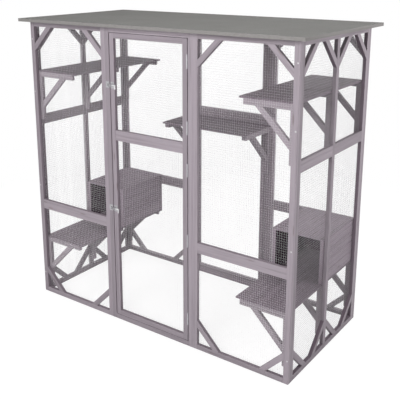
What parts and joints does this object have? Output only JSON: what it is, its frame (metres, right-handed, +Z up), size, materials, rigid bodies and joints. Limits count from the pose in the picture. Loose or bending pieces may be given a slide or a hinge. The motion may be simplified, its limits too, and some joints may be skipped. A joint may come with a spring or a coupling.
{
  "type": "outdoor cat enclosure",
  "caption": "Walk-in timber and wire cat house with a bolted door, wall shelves on brackets, two box dens and a flat overhanging roof.",
  "frame": {"origin": "on the ground under the middle of the roof and walls", "axes": "+X along the front to the right, +Y from the front wall to the back wall, +Z up"},
  "size_m": [1.896, 0.947, 1.781],
  "materials": {
    "timber": "matt grey-washed softwood",
    "shelf_board": "matt grey-washed board",
    "roof_board": "matt grey-green board",
    "wire": "galvanised",
    "zinc": "zinc plated"
  },
  "bodies": {
    "cage": {"front_left_frame": "timber", "front_left_braces": "timber", "front_left_mesh": "wire", "front_right_frame": "timber", "front_right_braces": "timber", "front_right_mesh": "wire", "doorway_frame": "timber", "back_left_frame": "timber", "back_left_braces": "timber", "back_left_mesh": "wire", "back_right_frame": "timber", "back_right_braces": "timber", "back_right_mesh": "wire", "back_middle_surround": "timber", "back_middle_leaf": "timber", "back_middle_mesh": "wire", "back_leaf_screws": "zinc", "left_side_frame": "timber", "left_side_braces": "timber", "left_side_mesh": "wire", "right_side_frame": "timber", "right_side_braces": "timber", "right_side_mesh": "wire", "roof_left": "roof_board", "roof_middle": "roof_board", "roof_right": "roof_board", "wood_screws": "zinc", "upper_left_shelf": "shelf_board", "upper_left_brackets": "timber", "upper_right_shelf": "shelf_board", "upper_right_brackets": "timber", "middle_shelf": "shelf_board", "middle_brackets": "timber", "lower_left_shelf": "shelf_board", "lower_left_brackets": "timber", "lower_right_shelf": "shelf_board", "lower_right_brackets": "timber", "left_den_posts": "timber", "left_den_siding": "timber", "left_den_back": "timber", "left_den_roof": "shelf_board", "right_den_posts": "timber", "right_den_siding": "timber", "right_den_back": "timber", "right_den_roof": "shelf_board", "hinge_post_leaves": "zinc", "hinge_pins": "zinc", "upper_bolt_keeper": "zinc", "lower_bolt_keeper": "zinc", "cage_small_screws": "zinc"},
    "door": {"door_leaf": "timber", "door_mesh": "wire", "hinge_door_leaves": "zinc", "upper_bolt_plate": "zinc", "lower_bolt_plate": "zinc", "door_small_screws": "zinc"},
    "upper_bolt": {"upper_bolt_rod": "zinc"},
    "lower_bolt": {"lower_bolt_rod": "zinc"}
  },
  "joints": [
    {"name": "door_hinge", "type": "hinge", "parent": "cage", "child": "door", "pos_m": [0.2675, -0.4275, 0.9], "axis": [0, 0, 1], "range_deg": [0, 170]},
    {"name": "upper_bolt_slide", "type": "slide", "parent": "door", "child": "upper_bolt", "axis": [-1, 0, 0], "range_m": [0, 0.02]},
    {"name": "lower_bolt_slide", "type": "slide", "parent": "door", "child": "lower_bolt", "axis": [-1, 0, 0], "range_m": [0, 0.02]}
  ]
}
